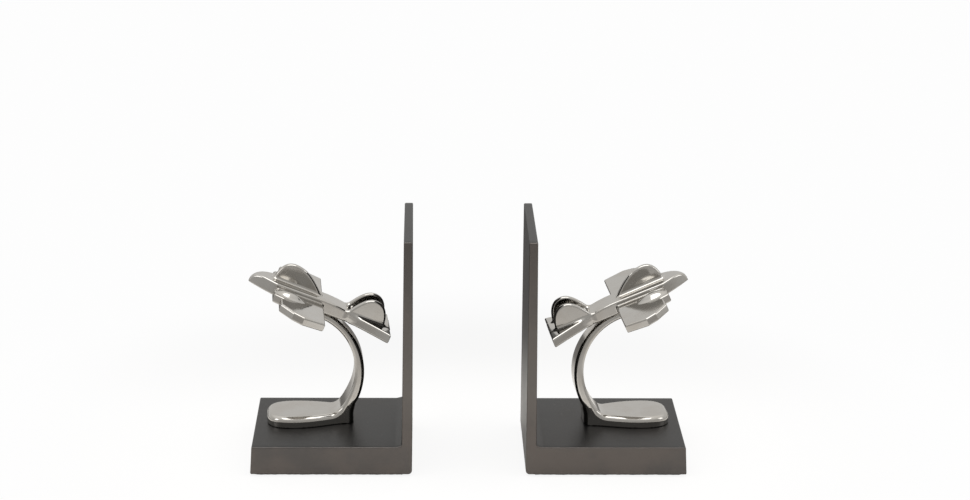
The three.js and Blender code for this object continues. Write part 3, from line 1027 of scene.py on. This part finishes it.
@dataclass
class BookEnd:
    """One book end: its base, felt, stem and aeroplane, and the CAD screws and washers."""

    side: Side
    castings: Castings
    finishes: Finishes

    def dress(self, piece: bpy.types.Object, material: bpy.types.Material) -> None:
        """Gives a piece its material and slot, and reports it."""
        piece.data.materials.clear()
        piece.data.materials.append(material)
        LOG.info("%s: %d faces, %s", piece.name, len(piece.data.polygons), material.name)

    def add(self, name: str, points: Array, faces: Array | list, normals: Array | None,
            nodes: list[str], material: bpy.types.Material, slot: Slot) -> bpy.types.Object:
        """Adds a piece that stands for CAD nodes and rides on this book end's body.

        Args:
            name: The piece's name, without its side.
            points: Vertices in metres.
            faces: Its faces.
            normals: Its normals, or None.
            nodes: CAD nodes it stands for, without their side.
            material: Its material.
            slot: Not used.

        Returns:
            The piece.
        """
        piece = make_piece(f"{self.side.value}_{name}", points, faces, normals)
        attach(piece, self.side.body)
        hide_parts(*[f"{self.side.value}_{node}" for node in nodes])
        self.dress(piece, material)
        return piece

    def build(self) -> None:
        """Adds every piece of this book end."""
        datum = Datum(self.side)
        points, faces = BaseCasting().mesh()
        piece = self.add("base", carried(datum.base(), points)[0], faces, None, ["base_casting"],
                         self.finishes.gunmetal, Slot.GUNMETAL)
        flat_ends(piece)
        points, faces = FeltPad().mesh()
        piece = self.add("felt_pad", carried(datum.base(), points)[0], faces, None, ["base_felt"],
                         self.finishes.felt, Slot.FELT)
        flat_ends(piece)
        net, quads, normals = self.castings.stem
        net, normals = carried(datum.stand(), net, normals)
        self.add("stem", net, quads, normals, ["foot_and_stem"], self.finishes.nickel, Slot.NICKEL)
        net, quads, normals = self.castings.aeroplane
        net, normals = carried(datum.flight(self.castings.origin), net, normals)
        self.add("aeroplane", net, quads, normals,
                 ["aeroplane_body", "centre_fin", "tail_fin_port", "tail_fin_starboard",
                  "engine_pod_port", "engine_pod_starboard"], self.finishes.nickel, Slot.NICKEL)
        for node in ("foot_screw_outer", "foot_screw_inner", "foot_washer_outer",
                     "foot_washer_inner", "stem_screw"):
            self.dress(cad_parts[f"{self.side.value}_{node}"], self.finishes.steel)


def flat_ends(piece: bpy.types.Object) -> None:
    """Keeps the many-sided end faces of a loft flat, with a sharp line round them."""
    mesh = piece.data
    corners = np.zeros(len(mesh.polygons), np.int32)
    mesh.polygons.foreach_get("loop_total", corners)
    mesh.polygons.foreach_set("use_smooth", corners <= 4)
    mesh.update()


# ---- studio ------------------------------------------------------------------------------


@dataclass(frozen=True)
class Camera:
    """The camera: its place from the middle of the pair's bases, its aim and its lens."""

    place: tuple[float, float, float] = (-35.9, -1711.9, 688.0)
    down: float = 17.04
    yaw: float = -1.586
    roll: float = 0.651
    focal: float = 89.32
    rise: float = -0.0041

    def build(self) -> None:
        """Makes the camera and gives it to the scene. It looks along -Z of its own axes, which are
        level, then tipped down, turned about the vertical and rolled."""
        data = bpy.data.cameras.new("camera")
        data.sensor_width, data.lens, data.shift_y = 36.0, self.focal, self.rise
        data.clip_start, data.clip_end = 0.05, 50.0
        camera = bpy.data.objects.new("camera", data)
        bpy.context.scene.collection.objects.link(camera)
        low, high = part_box("left_base_casting")
        middle = (low.y + high.y) / 2
        aim = (Matrix.Rotation(np.radians(self.yaw), 4, "Z")
               @ Matrix.Rotation(np.radians(90 - self.down), 4, "X")
               @ Matrix.Rotation(np.radians(self.roll), 4, "Z"))
        where = Vector(self.place) * MM + Vector((0, middle, 0))
        camera.matrix_world = Matrix.Translation(where) @ aim
        bpy.context.scene.camera = camera


@dataclass(frozen=True)
class Lamp:
    """A soft rectangular lamp that looks at the pair."""

    name: str
    place: tuple[float, float, float]
    size: tuple[float, float]
    power: float

    def build(self) -> None:
        """Adds the lamp."""
        data = bpy.data.lights.new(self.name, "AREA")
        data.shape, data.size, data.size_y, data.energy = "RECTANGLE", *self.size, self.power
        lamp = bpy.data.objects.new(self.name, data)
        bpy.context.scene.collection.objects.link(lamp)
        lamp.location = self.place
        aim = Vector((0, 0, 0.08)) - Vector(self.place)
        lamp.rotation_euler = aim.to_track_quat("-Z", "Y").to_euler()


@dataclass(frozen=True)
class Studio:
    """White floor with a painted pool of light for other rays, a tent of soft light that is brightest
    overhead and greyer in front, and three soft lamps."""

    lamps: tuple[Lamp, ...] = (
        Lamp("overhead", (0.0, -0.2, 1.5), (1.2, 0.8), 7.0),
        Lamp("left_side", (-1.3, -0.6, 0.9), (0.5, 0.7), 2.5),
        Lamp("right_side", (1.4, -0.3, 0.9), (0.5, 0.7), 2.0),
    )
    floor_half: float = 6.0

    def floor(self) -> None:
        """A wide floor, white to the camera, that keeps the pair's shadow. Other rays meet a pale
        floor with painted light: a painted pool of light round the pair that darkens with distance,
        and painted shade at the back of the pair, which the polished metal reflects."""
        h = self.floor_half
        points = np.array([(-h, -h, 0), (h, -h, 0), (h, h, 0), (-h, h, 0)], float)
        floor = make_piece("floor", points, [[0, 1, 2, 3]])
        material, g = shade("white_floor")
        here = g.node("ShaderNodeTexCoord", output="Object")
        reach = g.node("ShaderNodeVectorMath", {"operation": "LENGTH"}, {0: here}, output="Value")
        # Painted light: the floor's tone is a pool of light, pale near the pair and darker far off, with
        # painted shade at the back.
        painted_shade_behind = g.along("Y", here).smooth(0.05, 0.3)
        tone = g.blend(reach.smooth(0.12, 0.5), colour(0.95, 0.93, 0.9), colour(0.5, 0.49, 0.48))
        tone = g.blend(painted_shade_behind, tone, colour(0.2, 0.195, 0.19))
        painted_falloff_paper = g.node("ShaderNodeBsdfDiffuse", values={"Color": tone})
        white = g.node("ShaderNodeEmission", values={"Color": colour(1, 1, 1), "Strength": 1.0})
        seen = g.node("ShaderNodeLightPath", output="Is Camera Ray")
        share = seen * (reach.smooth(0.18, 0.42) * 0.1 + 0.88)
        both = g.node("ShaderNodeMixShader", values={0: share, 1: painted_falloff_paper, 2: white})
        g.node("ShaderNodeOutputMaterial", values={"Surface": both})
        floor.data.materials.append(material)

    def tent(self) -> None:
        """The world: white to the camera; other rays meet a tent whose light grows with height and
        fades towards the front."""
        world = bpy.data.worlds.new("tent")
        bpy.context.scene.world = world
        world.use_nodes = True
        g = Graph(world.node_tree)
        direction = g.node("ShaderNodeTexCoord", output="Generated")
        back = g.along("Y", direction).smooth(-0.7, 0.6) * 0.26 + 0.56
        strength = back + g.along("Z", direction).smooth(0.4, 0.95) * 0.35
        warm = colour(1.0, 0.985, 0.96)
        light = g.node("ShaderNodeBackground", values={"Color": warm, "Strength": strength})
        white = g.node("ShaderNodeBackground", values={"Color": colour(1, 1, 1), "Strength": 1.0})
        seen = g.node("ShaderNodeLightPath", output="Is Camera Ray")
        both = g.node("ShaderNodeMixShader", values={0: seen, 1: light, 2: white})
        g.node("ShaderNodeOutputWorld", values={"Surface": both})

    def build(self) -> None:
        """Adds the floor, the tent and the lamps."""
        self.floor()
        self.tent()
        for lamp in self.lamps:
            lamp.build()
        bpy.context.scene.view_settings.view_transform = "Standard"


def main() -> None:
    logging.basicConfig(level=logging.INFO, format="%(message)s")
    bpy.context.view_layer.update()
    Camera().build()
    low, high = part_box("left_base_casting")
    gunmetal = Gunmetal((high.y - low.y) / 2, (high.y + low.y) / 2)
    finishes = Finishes(PolishedNickel().material(), gunmetal.material(),
                        TurnedSteel().material(), BlackFelt().material())
    stem = FootAndStem()
    castings = Castings(Aeroplane().net(), stem.net(), tuple(stem.origin))
    for side in Side:
        BookEnd(side, castings, finishes).build()
    Studio().build()


if __name__ == "__main__":
    main()
